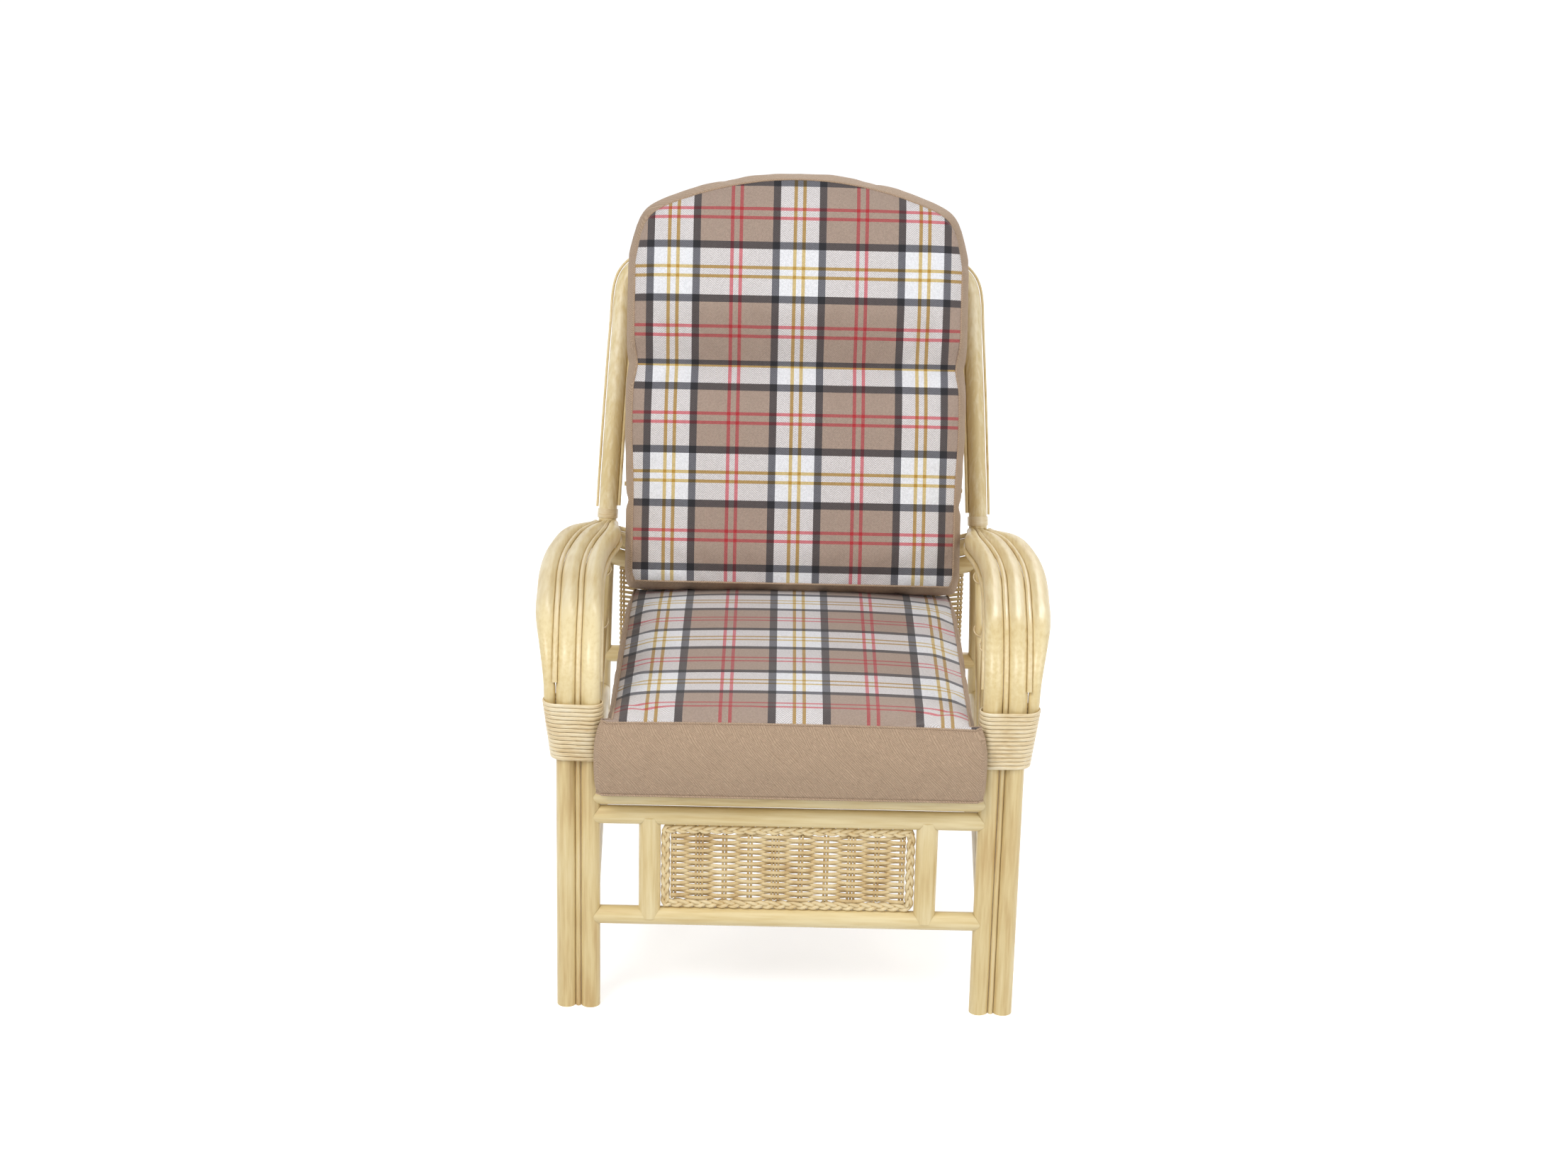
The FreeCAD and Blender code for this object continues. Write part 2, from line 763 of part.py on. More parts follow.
def make_seat_frame():
    leg = Part.makeCylinder(pole_r + fit, size("arm_spring"), Vector(leg_inner, 0, 0))
    levels = (
        ("side_rail", size("side_rail_height"), math.tan(tilt)),
        ("side_stretcher", size("side_stretcher_height"), 0.0),
    )
    for name, height, slope in levels:
        front, rear = side_line(height, slope)
        add_pair(name, rod(front, rear, rail_r).cut(leg).cut(post_tool))

    half = post_x(rear_rail_z)
    ends = [Vector(side * half, rear_rail_y, rear_rail_z) for side in (-1, 1)]
    tools = Part.makeCompound([post_tool, mirrored(post_tool)])
    add_shape("rear_rail", rod(ends[0], ends[1], rail_r).cut(tools))

    bearer_r = size("bearer_diameter") / 2
    front_tool = rod(Vector(-leg_inner, 0, upper_rail_z), Vector(leg_inner, 0, upper_rail_z), rail_r + fit)
    rear_tool = rod(ends[0], ends[1], rail_r + fit)
    down = (bearer_r + fit) / math.cos(tilt)
    bearers = []
    first = -(count("bearer_count") - 1) / 2 * size("bearer_pitch")
    for i in range(count("bearer_count")):
        x = first + i * size("bearer_pitch")
        start = Vector(x, 0, seat_z(0) - down)
        end = Vector(x, rear_rail_y, seat_z(rear_rail_y) - down)
        bearers.append(rod(start, end, bearer_r).cut(front_tool).cut(rear_tool))
    add_shape("seat_bearers", Part.makeCompound(bearers))


# Lattice under each arm: uprights from the side rail to the inner arm pole, with cross canes

def make_lattice():
    upright_r = size("upright_diameter") / 2
    cross_r = size("side_cross_diameter") / 2
    front, rear = side_line(size("side_rail_height"), math.tan(tilt))
    slope = (rear.z - front.z) / (rear.y - front.y)
    uprights, ties, lines = [], [], []
    for i in range(count("upright_count")):
        y = size("upright_setback") + i * size("upright_pitch")
        share = y / rear.y
        end_gap = fit + 0.15 * upright_r
        foot = Vector(mix(front.x, rear.x, share), y, front.z + slope * y + rail_r + end_gap)
        head = Vector(inner_x(y), y, arm_z(y) - pole_radius(y) - end_gap)
        uprights.append(rod(foot, head, upright_r))
        lines.append((foot, head))
    crosses = []
    for level in range(2):
        drop = size("side_cross_drop") + level * size("side_cross_pitch")
        points = []
        for foot, head in lines:
            way = (head - foot).normalize()
            across = (X - way * X.dot(way)).normalize()
            point = head - way * drop
            ties.append(tie(point, way, Y, across, upright_r, cross_r))
            points.append(point + across * (upright_r + cross_r + fit))
        overhang = size("upright_pitch") / 2
        points.insert(0, points[0] + (points[0] - points[1]).normalize() * overhang)
        points.append(points[-1] + (points[-1] - points[-2]).normalize() * overhang)
        crosses.append(cane(points, [cross_r] * len(points)))
    add_pair("side_uprights", Part.makeCompound(uprights))
    add_pair("side_cross_canes", Part.makeCompound(crosses))
    add_pair("side_ties", Part.makeCompound(ties))


# Cushions: lofts through sections with a flat underside, swelling sides and a crowned top

def cushion_section(half, low, high, crown, swell, place):
    """A closed section: flat below, arcs at the sides and a crowned arc on top."""
    corners = [place(-half, low), place(half, low), place(half, high), place(-half, high)]
    middle = (low + high) / 2
    return Part.Wire([
        Part.makeLine(corners[0], corners[1]),
        Part.Arc(corners[1], place(half + swell, middle), corners[2]).toShape(),
        Part.Arc(corners[2], place(0, high + crown), corners[3]).toShape(),
        Part.Arc(corners[3], place(-half - swell, middle), corners[0]).toShape(),
    ])


def seat_place(depth):
    return lambda x, height: Vector(x, depth, height)


seat_home = Placement(Vector(0, 0, size("seat_height")), Rotation(X, -size("seat_tilt")))


def make_seat_cushion():
    swell = size("side_swell")
    thick = size("seat_thickness")
    crown = size("seat_crown")
    front = -size("seat_overhang")
    rear = size("seat_depth")
    roll = size("roll_width") / 2 - swell
    half = size("seat_width") / 2 - swell
    edge = roll_front_low
    roll_rear = front + size("roll_depth")
    rows = [
        (front, roll - edge, edge, thick - edge, 0.2 * crown),
        (front + 0.4 * size("roll_depth"), roll - 0.2 * edge, 0.15 * edge, thick, 0.35 * crown),
        (roll_rear, roll, 0, thick, 0.5 * crown),
        (roll_rear + fit, half, 0, thick, 0.5 * crown),
        (mix(roll_rear, rear, 0.25), half, 0, thick, 0.9 * crown),
        (mix(roll_rear, rear, 0.5), half, 0, thick, crown),
        (mix(roll_rear, rear, 0.75), half, 0, thick, 0.75 * crown),
        (rear - edge, half, 0, thick - 0.2 * edge, 0.35 * crown),
        (rear, half - edge, edge, thick - edge, 0.2 * crown),
    ]
    sections = [
        cushion_section(width, low, high, top, swell, seat_place(depth))
        for depth, width, low, high, top in rows
    ]
    outside = Part.makeLoft(sections, True, True)
    wall = size("cover_wall")
    core = Part.makeBox(
        2 * (half - wall),
        rear - front - 2 * wall - size("roll_depth"),
        thick - 2 * wall,
        Vector(wall - half, roll_rear + wall, wall),
    )
    add_cushion("seat", outside, core, seat_home)


def add_cushion(name, outside, core, place):
    """The cover with its wadding, hollow for the foam core, and the core inside it."""
    box = core.BoundBox
    grow = Vector(fit, fit, fit)
    low = Vector(box.XMin, box.YMin, box.ZMin) - grow
    hollow = Part.makeBox(box.XLength + 2 * fit, box.YLength + 2 * fit, box.ZLength + 2 * fit, low)
    for label, shape in ((name + "_cover", outside.cut(hollow)), (name + "_core", core)):
        add_shape(label, shape)
        subparts[-1].Placement = home.multiply(place)


def back_place(height):
    return lambda x, depth: Vector(x, -depth, height)


def back_home():
    """The rear face lies on the posts, and the rear lower edge on the seat cushion."""
    top_rise = top_rail_end.z - size("knee_height")
    blend = size("knee_blend")
    clear = math.hypot(top_rise, blend) - top_rise
    line_start = size("knee_setback") + math.tan(recline) * (clear - blend - size("knee_height"))
    line_start -= (post_r + fit) / math.cos(recline)
    seat_top = size("seat_thickness") + 0.35 * size("seat_crown") + fit
    plane_z = size("seat_height") + seat_top / math.cos(tilt)
    z = (plane_z - line_start * math.tan(tilt)) / (1 + math.tan(recline) * math.tan(tilt))
    return Placement(Vector(0, line_start + z * math.tan(recline), z), Rotation(X, -size("recline")))


def make_back_cushion():
    swell = size("side_swell")
    half = size("back_width") / 2 - swell
    thick = size("back_thickness")
    crown = size("back_crown")
    top = size("back_length")
    shoulder = top - size("back_arch")
    arch_r = (half * half + size("back_arch") ** 2) / (2 * size("back_arch"))
    seam = size("channel_height")
    channel = size("channel_depth")
    edge = roll_front_low
    rows = [
        (0, half - edge, edge, thick - edge, 0.1 * crown),
        (1.5 * edge, half, 0, thick, 0.4 * crown),
        (0.4 * seam, half, 0, thick, crown),
        (seam - 1.5 * channel, half, 0, thick, 0.8 * crown),
        (seam, half - 0.4 * channel, 0, thick - channel, 0.1 * crown),
        (seam + 1.5 * channel, half, 0, thick, 0.8 * crown),
        (mix(seam, shoulder, 0.55), half, 0, thick, crown),
        (shoulder, half, 0, thick - 0.4 * edge, 0.6 * crown),
    ]
    for share in (0.3, 0.6, 0.8, 0.92):
        height = shoulder + share * size("back_arch")
        below = top - arch_r
        width = math.sqrt(arch_r ** 2 - (height - below) ** 2)
        rows.append((height, width, share * edge, thick - (0.4 + share) * edge, 0.6 * crown * (1 - share)))
    sections = [
        cushion_section(width, low, high, crest, swell, back_place(height))
        for height, width, low, high, crest in rows
    ]
    outside = Part.makeLoft(sections, True, True)
    wall = size("cover_wall")
    core = Part.makeBox(
        2 * (half - 2 * wall),
        thick - channel - 2 * wall,
        shoulder - 3 * wall,
        Vector(2 * wall - half, channel + wall - thick, 1.5 * wall),
    )
    add_cushion("back", outside, core, back_home())


make_arms()
make_bindings()
make_posts()
make_back_filling()
make_apron()
make_seat_frame()
make_lattice()
make_seat_cushion()
make_back_cushion()
doc.recompute()

for piece in subparts:
    if "Invalid" in piece.State or "Error" in piece.State:
        raise RuntimeError(f"{piece.Label}: {piece.State}")
    if piece.Shape.isNull() or not piece.Shape.isValid() or not piece.Shape.Solids:
        raise RuntimeError(f"{piece.Label}: the shape is not a valid solid")

os.makedirs("parts", exist_ok=True)
for piece in subparts:
    piece.Shape.exportStep(f"parts/{piece.Label}.step")
print(len(subparts), "sub-parts")
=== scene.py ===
import math

import bpy
from mathutils import Matrix, Vector


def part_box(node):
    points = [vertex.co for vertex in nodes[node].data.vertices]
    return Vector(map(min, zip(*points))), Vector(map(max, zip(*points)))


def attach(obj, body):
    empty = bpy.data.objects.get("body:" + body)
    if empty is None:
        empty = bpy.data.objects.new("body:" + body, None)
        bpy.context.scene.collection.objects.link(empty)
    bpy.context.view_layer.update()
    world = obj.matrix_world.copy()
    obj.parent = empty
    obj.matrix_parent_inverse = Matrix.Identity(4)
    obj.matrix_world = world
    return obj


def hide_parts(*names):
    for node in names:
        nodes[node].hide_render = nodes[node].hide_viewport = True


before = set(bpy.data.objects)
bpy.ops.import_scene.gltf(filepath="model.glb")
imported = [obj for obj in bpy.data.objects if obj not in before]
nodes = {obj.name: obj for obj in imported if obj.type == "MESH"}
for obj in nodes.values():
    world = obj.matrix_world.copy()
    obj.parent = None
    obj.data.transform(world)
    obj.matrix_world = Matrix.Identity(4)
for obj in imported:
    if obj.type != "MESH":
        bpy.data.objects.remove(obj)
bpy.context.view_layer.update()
scene = bpy.context.scene
MM = 0.001


def mix(start, end, share):
    return start + (end - start) * share


def smooth(value):
    part = min(max(value, 0.0), 1.0)
    return part * part * (3 - 2 * part)


# Materials

class Graph:
    """Short words for the nodes of one procedural material."""

    def __init__(self, name, roughness, sheen=0.0, coat=0.0):
        self.material = bpy.data.materials.new(name)
        self.material.use_nodes = True
        self.tree = self.material.node_tree
        self.shader = self.tree.nodes["Principled BSDF"]
        self.shader.inputs["Roughness"].default_value = roughness
        self.shader.inputs["Sheen Weight"].default_value = sheen
        self.shader.inputs["Sheen Roughness"].default_value = 0.5
        self.shader.inputs["Coat Weight"].default_value = coat
        self.shader.inputs["Coat Roughness"].default_value = 0.28
        self.place = self.node("ShaderNodeTexCoord").outputs["Object"]
        split = self.node("ShaderNodeSeparateXYZ")
        self.feed(split.inputs[0], self.place)
        self.x, self.y, self.z = split.outputs

    def node(self, kind, **settings):
        made = self.tree.nodes.new(kind)
        for name, value in settings.items():
            setattr(made, name, value)
        return made

    def feed(self, socket, value):
        if isinstance(value, bpy.types.NodeSocket):
            self.tree.links.new(value, socket)
        else:
            socket.default_value = value

    def math(self, operation, *values):
        made = self.node("ShaderNodeMath", operation=operation)
        for socket, value in zip(made.inputs, values):
            self.feed(socket, value)
        return made.outputs[0]

    def fade(self, value, low, high, start=0.0, end=1.0):
        made = self.node("ShaderNodeMapRange", interpolation_type="SMOOTHSTEP")
        for socket, given in zip(made.inputs, (value, low, high, start, end)):
            self.feed(socket, given)
        return made.outputs[0]

    def noise(self, stretch, scale, detail=4.0, turn=0.0):
        """Noise stretched along the axis whose factor is small."""
        mapping = self.node("ShaderNodeMapping")
        self.feed(mapping.inputs["Vector"], self.place)
        mapping.inputs["Rotation"].default_value = (turn, 0, 0)
        mapping.inputs["Scale"].default_value = stretch
        made = self.node("ShaderNodeTexNoise")
        self.feed(made.inputs["Vector"], mapping.outputs[0])
        made.inputs["Scale"].default_value = scale
        made.inputs["Detail"].default_value = detail
        return made.outputs["Fac"]

    def ramp(self, value, stops, steps=False):
        made = self.node("ShaderNodeValToRGB")
        ramp = made.color_ramp
        ramp.interpolation = "CONSTANT" if steps else "LINEAR"
        while len(ramp.elements) < len(stops):
            ramp.elements.new(1.0)
        for element, (position, colour) in zip(ramp.elements, stops):
            element.position = position
            element.color = (*colour, 1)
        self.feed(made.inputs[0], value)
        return made.outputs[0]

    def blend(self, share, first, second, kind="MIX"):
        made = self.node("ShaderNodeMix", data_type="RGBA", blend_type=kind)
        self.feed(made.inputs["Factor"], share)
        for socket, value in ((made.inputs[6], first), (made.inputs[7], second)):
            self.feed(socket, value if isinstance(value, bpy.types.NodeSocket) else (*value, 1))
        return made.outputs[2]

    def colour(self, value):
        self.feed(self.shader.inputs["Base Color"], value)

    def bump(self, height, depth, strength=1.0):
        made = self.node("ShaderNodeBump")
        made.inputs["Strength"].default_value = strength
        made.inputs["Distance"].default_value = depth
        self.feed(made.inputs["Height"], height)
        self.feed(self.shader.inputs["Normal"], made.outputs[0])

    def rough(self, value):
        self.feed(self.shader.inputs["Roughness"], value)


HONEY = (0.57, 0.395, 0.165)
STRAW = (0.70, 0.55, 0.27)
CREAM = (0.80, 0.67, 0.385)
POST_PALE = (0.85, 0.74, 0.49)
STRIP_DARK = (0.52, 0.34, 0.14)
STRIP_PALE = (0.80, 0.66, 0.40)

# Heights in metres between which the grain turns from the leg to the arm, and between which
# the tone goes from that of the leg to that of the arm
GRAIN_TURN = (0.44, 0.52)
LEG_TONE = (0.40, 0.50, -0.07, 0.02)


def cane_material(name, along, turn=0.0, dark=HONEY, pale=CREAM):
    """Skinned cane: fine streaks along the pole over soft, wide changes of tone."""
    g = Graph(name, 0.4, coat=0.25)
    thin, thick, grain = 1.0, 14.0, 14.0
    stretches = {
        "x": (thin, thick, thick),
        "y": (thick, thin, thick),
        "z": (thick, thick, thin),
    }
    if along == "arm":
        upper = g.noise(stretches["y"], grain)
        lower = g.noise(stretches["z"], grain)
        on_arm = g.fade(g.z, *GRAIN_TURN)
        streak = g.math("ADD", g.math("MULTIPLY", upper, on_arm),
                        g.math("MULTIPLY", lower, g.math("SUBTRACT", 1.0, on_arm)))
    else:
        streak = g.noise(stretches[along], grain, turn=turn)
    mottle = g.noise((1, 1, 1), 6.0, detail=1.0)
    tone = g.math("ADD", g.math("MULTIPLY", streak, 0.5), g.math("MULTIPLY", mottle, 0.5))
    if along == "arm":
        tone = g.math("ADD", tone, g.fade(g.z, *LEG_TONE))
    g.colour(g.ramp(tone, [(0.28, dark), (0.44, STRAW), (0.62, pale)]))
    g.rough(g.fade(tone, 0.3, 0.7, 0.44, 0.34))
    g.bump(streak, 0.0004)
    return g.material


def peel_material(name):
    """Flat cane peel: pale and glossy, with fine lines."""
    g = Graph(name, 0.33, coat=0.35)
    fine = g.noise((1, 1, 7), 60.0)
    broad = g.noise((1, 1, 1), 25.0, detail=2.0)
    tone = g.math("ADD", g.math("MULTIPLY", fine, 0.5), g.math("MULTIPLY", broad, 0.5))
    dark, middle, light = (0.58, 0.41, 0.19), (0.76, 0.62, 0.38), (0.83, 0.73, 0.52)
    g.colour(g.ramp(tone, [(0.32, dark), (0.5, middle), (0.66, light)]))
    g.bump(fine, 0.0003)
    return g.material


def wicker_material(name, pale=0.0):
    """Core cane: matt strands that differ a little from one another."""
    g = Graph(name, 0.5, coat=0.12)
    strand = g.noise((1, 1, 1), 70.0, detail=3.0)
    broad = g.noise((1, 1, 1), 18.0, detail=2.0)
    tone = g.math("ADD", g.math("MULTIPLY", strand, 0.55), g.math("MULTIPLY", broad, 0.45))
    dark, middle, light = (0.45, 0.28, 0.11), (0.66, 0.49, 0.24), (0.78, 0.64, 0.38)
    # A pale shift moves the ramp towards the light tones: painted light that offsets shade between strands
    g.colour(g.ramp(tone, [(0.3 - pale, dark), (0.48 - pale, middle), (0.66 - pale, light)]))
    g.bump(strand, 0.0004)
    return g.material


WHITE_YARN = (0.81, 0.815, 0.85)
BROWN_YARN = (0.375, 0.28, 0.225)
DARK_YARN = (0.009, 0.009, 0.013)
RED_YARN = (0.42, 0.022, 0.03)
YELLOW_YARN = (0.47, 0.26, 0.035)
PLAIN_DARK = (0.36, 0.25, 0.165)
PLAIN_PALE = (0.47, 0.335, 0.23)

# Millimetres from the middle of a band to its paired lines, and half a dark stripe
LINE_IN, LINE_OUT, DARK_HALF = 4.4, 9.2, 5.4


def check_stops(period, light):
    """One repeat of the check from the middle of its light band to the next."""
    line_in, line_out = LINE_IN / period, LINE_OUT / period
    dark_half = DARK_HALF / period
    edge = light / 2 / period
    stops = [
        (0.0, WHITE_YARN),
        (line_in, YELLOW_YARN),
        (line_out, WHITE_YARN),
        (edge - dark_half, DARK_YARN),
        (edge + dark_half, BROWN_YARN),
        (0.5 - line_out, RED_YARN),
        (0.5 - line_in, BROWN_YARN),
    ]
    turned = [(1 - position, stops[i - 1][1]) for i, (position, _) in enumerate(stops) if i > 0]
    return stops + turned[::-1]


def twill(g, across, along):
    """Herringbone: diagonal ribs that turn back every few millimetres."""
    rib = 3.4 * MM
    turn_back = 11 * MM
    slant = g.math("ADD", g.math("PINGPONG", across, turn_back), along)
    wave = g.math("PINGPONG", slant, rib / 2)
    return g.fade(wave, 0.3 * rib / 2, 0.7 * rib / 2)


def finish_cloth(g, rib, colour):
    slub = g.noise((1, 1, 1), 420.0, detail=2.0)
    tone = g.fade(slub, 0.3, 0.7, 0.91, 1.07)
    shade = g.node("ShaderNodeCombineColor")
    for socket in shade.inputs:
        g.feed(socket, tone)
    g.colour(g.blend(1.0, colour, shade.outputs[0], "MULTIPLY"))
    g.bump(g.math("ADD", rib, g.math("MULTIPLY", slub, 0.6)), 0.0005, 0.6)
    return g.material


def check_material(name, along, warp, weft, sheen, tuck=None):
    """The woven check. warp and weft are (period, light band, centre of a light band) in mm.

    tuck is the height of a sewn channel and the length of cloth that it takes up, in metres.
    """
    g = Graph(name, 0.85, sheen=sheen)
    height = {"y": g.y, "z": g.z}[along]
    if tuck:
        above = g.math("GREATER_THAN", height, tuck[0])
        run = g.math("ADD", height, g.math("MULTIPLY", above, tuck[1]))
    else:
        run = height
    yarns = []
    for place, (period, light, centre) in ((g.x, warp), (run, weft)):
        share = g.math("FRACT", g.math("DIVIDE", g.math("SUBTRACT", place, centre * MM), period * MM))
        yarns.append(g.ramp(share, check_stops(period, light), steps=True))
    rib = twill(g, g.x, height)
    share = g.fade(rib, 0.0, 1.0, 0.1, 0.9)
    lighter = 0.35
    threads = g.blend(lighter, g.blend(share, *yarns), g.blend(1.0, *yarns, "LIGHTEN"))
    both = g.node("ShaderNodeGamma")
    g.feed(both.inputs["Color"], g.blend(1.0, *yarns, "MULTIPLY"))
    both.inputs["Gamma"].default_value = 0.5
    # The stripes and lines have little blue, and they darken what they cross
    little_blue = 0.1
    thread_share = {"band": 0.85, "stripe": 0.12}
    blues = []
    for yarn in yarns:
        parts = g.node("ShaderNodeSeparateColor")
        g.feed(parts.inputs[0], yarn)
        blues.append(parts.outputs[2])
    stripe = g.math("LESS_THAN", g.math("MINIMUM", *blues), little_blue)
    shown = g.fade(stripe, 0.0, 1.0, thread_share["band"], thread_share["stripe"])
    return finish_cloth(g, rib, g.blend(shown, both.outputs[0], threads))


def plain_material(name, along):
    """Plain boxing in the ground colour of the check."""
    g = Graph(name, 0.88, sheen=0.12)
    height = {"y": g.y, "z": g.z}[along]
    across = g.math("ADD", g.x, {"y": g.z, "z": g.y}[along])
    rib = twill(g, across, height)
    return finish_cloth(g, rib, g.blend(rib, PLAIN_DARK, PLAIN_PALE))


cane_x = cane_material("cane_across", "x")
cane_y = cane_material("cane_along", "y")
cane_z = cane_material("cane_upright", "z")
cane_arm = cane_material("cane_arm", "arm")
cane_post = cane_material("cane_post", "z", turn=math.radians(-19), dark=STRAW, pale=POST_PALE)
strip_arm = cane_material("strip_arm", "arm", dark=STRIP_DARK, pale=STRIP_PALE)
strip_post = cane_material("strip_post", "z", dark=STRIP_DARK, pale=STRIP_PALE)
peel = peel_material("cane_peel")
wicker = wicker_material("core_wicker")
# The border's wicker is painted lighter than the weave's, as painted light against the shade between its
# plaited strands; its real cane is the same colour as the weave
painted_light_wicker = wicker_material("border_wicker_painted_light", pale=0.14)

LOOKS = {
    "inner_arm": cane_arm,
    "middle_arm": cane_arm,
    "outer_arm": cane_arm,
    "inner_arm_strip": strip_arm,
    "outer_arm_strip": strip_arm,
    "under_arm_strip": strip_arm,
    "back_post": cane_post,
    "post_outer_strip": strip_post,
    "post_inner_beads": strip_post,
    "rear_strap": peel,
    "side_ties": peel,
    "back_ties": peel,
    "apron_post": cane_z,
    "side_rail": cane_y,
    "side_stretcher": cane_y,
    "side_uprights": cane_z,
    "side_cross_canes": cane_y,
    "top_rail": cane_x,
    "upper_lumbar_rail": cane_x,
    "lower_lumbar_rail": cane_x,
    "lumbar_strip": cane_x,
    "back_spindles": cane_post,
    "back_cross_canes": cane_x,
    "upper_front_rail": cane_x,
    "lower_front_rail": cane_x,
    "apron_stretcher": cane_x,
    "rear_rail": cane_x,
    "seat_bearers": cane_y,
}
for name, node in nodes.items():
    base = name.removesuffix("_right").removesuffix("_left")
    if base in LOOKS:
        node.data.materials.clear()
        node.data.materials.append(LOOKS[base])


# Mesh helpers

def new_piece(name, vertices, faces, materials):
    mesh = bpy.data.meshes.new(name)
    mesh.from_pydata(vertices, [], faces)
    mesh.polygons.foreach_set("use_smooth", [True] * len(mesh.polygons))
    for material in materials:
        mesh.materials.append(material)
    piece = bpy.data.objects.new(name, mesh)
    scene.collection.objects.link(piece)
    return piece


def sweep(vertices, faces, points, profile, up, closed=False):
    """Adds a profile swept along points; its second axis keeps near to up."""
    start = len(vertices)
    total = len(points)
    sides = len(profile)
    for i, point in enumerate(points):
        if closed:
            way = points[(i + 1) % total] - points[i - 1]
        else:
            way = points[min(i + 1, total - 1)] - points[max(i - 1, 0)]
        way.normalize()
        out = way.cross(up).normalized()
        high = out.cross(way)
        vertices += [point + out * a + high * b for a, b in profile]
    runs = total if closed else total - 1
    for i in range(runs):
        near = start + i * sides
        far = start + (i + 1) % total * sides
        for j in range(sides):
            k = (j + 1) % sides
            faces.append((near + j, near + k, far + k, far + j))
    if not closed:
        faces.append(tuple(range(start + sides - 1, start - 1, -1)))
        faces.append(tuple(start + (total - 1) * sides + j for j in range(sides)))


def oval(thick, wide, sides=8, square=1.0):
    """A rounded profile; square below 1 makes it boxier."""
    def bent(value):
        return math.copysign(abs(value) ** square, value)
    turns = [2 * math.pi * (j + 0.5) / sides for j in range(sides)]
    return [(thick / 2 * bent(math.cos(t)), wide / 2 * bent(math.sin(t))) for t in turns]


# Bindings: flat cane peel wound round the top of each front leg

TURNS = 14


def make_binding(side):
    node = "front_binding_" + side
    low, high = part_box(node)
    mirror = 1 if side == "right" else -1
    inner, outer = sorted((abs(low.x), abs(high.x)))
    half = (high.y - low.y) / 2
    axis_y = (high.y + low.y) / 2
    thick = 2.6 * MM
    peel_fill = 0.93
    end_r = half - thick / 2
    inner_axis = inner + half
    pole_step = 36 * MM
    rise = 10 * MM
    top = high.z + rise
    growth = outer - half - inner_axis - pole_step
    pitch = (top - low.z) / (TURNS + 1)
    points = []
    arc_steps, line_steps = 10, 4
    per_turn = 2 * (arc_steps + line_steps)
    for i in range(TURNS * per_turn + line_steps):
        z = low.z + pitch * (0.5 + i / per_turn)
        outer_axis = inner_axis + pole_step + growth * (z - low.z) / (top - low.z)
        step = i % per_turn
        if step < line_steps:
            spot = Vector((mix(outer_axis, inner_axis, step / line_steps), end_r, 0))
        elif step < line_steps + arc_steps:
            angle = math.pi * (step - line_steps) / arc_steps
            spot = Vector((inner_axis - end_r * math.sin(angle), end_r * math.cos(angle), 0))
        elif step < 2 * line_steps + arc_steps:
            share = (step - line_steps - arc_steps) / line_steps
            spot = Vector((mix(inner_axis, outer_axis, share), -end_r, 0))
        else:
            angle = math.pi * (step - 2 * line_steps - arc_steps) / arc_steps
            spot = Vector((outer_axis + end_r * math.sin(angle), -end_r * math.cos(angle), 0))
        points.append(Vector((mirror * spot.x, axis_y + spot.y, z)))
    vertices, faces = [], []
    sweep(vertices, faces, points, oval(thick, peel_fill * pitch, sides=10, square=0.8), Vector((0, 0, 1)))
    piece = new_piece("binding_" + side, vertices, faces, [peel])
    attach(piece, "frame")
    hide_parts(node)


make_binding("right")
make_binding("left")


# Woven panels

def weave(name, node, stakes, weavers, fill, low_line, high_line, body_y):
    """Stakes in twos and threes, with weavers that go before one group and behind the next.

    fill is the height of a weaver as a share of the pitch of the rows.
    """
    low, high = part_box(node)
    strand = 3.1 * MM
    stake = 3.5 * MM
    stake_pitch = 1.25 * stake
    stray = 0.4 * MM
    pitch = (high_line(0) - low_line(0)) / weavers
    vertices, faces = [], []
    margin = 1.3 * stake
    steps = 6
    span = (high.x - low.x - 2 * margin) / (stakes - 1)
    for group in range(stakes):
        centre = low.x + margin + group * span
        members = 3 if group % 3 == 1 else 2
        for member in range(members):
            x = centre + (member - (members - 1) / 2) * stake_pitch
            heights = [mix(low_line(x), high_line(x), i / steps) for i in range(steps + 1)]
            line = [Vector((x, body_y, z)) for z in heights]
            sweep(vertices, faces, line, oval(stake, stake, 8), Vector((0, 1, 0)))
    per_group = 8
    for row in range(weavers):
        rise = (row + 0.5) / weavers
        phase = math.pi * (row % 2)
        line = []
        for i in range(-1, (stakes - 1) * per_group + 2):
            x = low.x + margin + span * i / per_group
            wave = math.cos(math.pi * i / per_group + phase)
            sway = math.copysign(abs(wave) ** 0.7, wave)
            z = mix(low_line(x), high_line(x), rise)
            wobble = stray * math.sin(3.1 * row + 41 * x)
            line.append(Vector((x, body_y + sway * 0.5 * (strand + stake), z + wobble)))
        sweep(vertices, faces, line, oval(strand, fill * pitch, 8), Vector((0, 0, 1)))
    piece = new_piece(name, vertices, faces, [wicker])
    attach(piece, "frame")
    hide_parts(node)


def make_apron_weave():
    low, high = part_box("apron_panel")
    middle_y = (low.y + high.y) / 2
    weave("apron_weave", "apron_panel", 10, 22, 1.12, lambda x: low.z, lambda x: high.z, middle_y)


def make_back_weave():
    low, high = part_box("lower_back_panel")
    rail_low, rail_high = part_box("lower_lumbar_rail")
    rail_diameter = 26 * MM
    half = (high.x - low.x) / 2
    dip = 0.75 * (rail_high.z - rail_low.z - rail_diameter)

    def top(x):
        return high.z - dip * (1 - (x / half) ** 2)

    weave("back_weave", "lower_back_panel", 15, 34, 1.15, lambda x: low.z, top, (low.y + high.y) / 2)


make_apron_weave()
make_back_weave()


# Plaited border round the apron panel

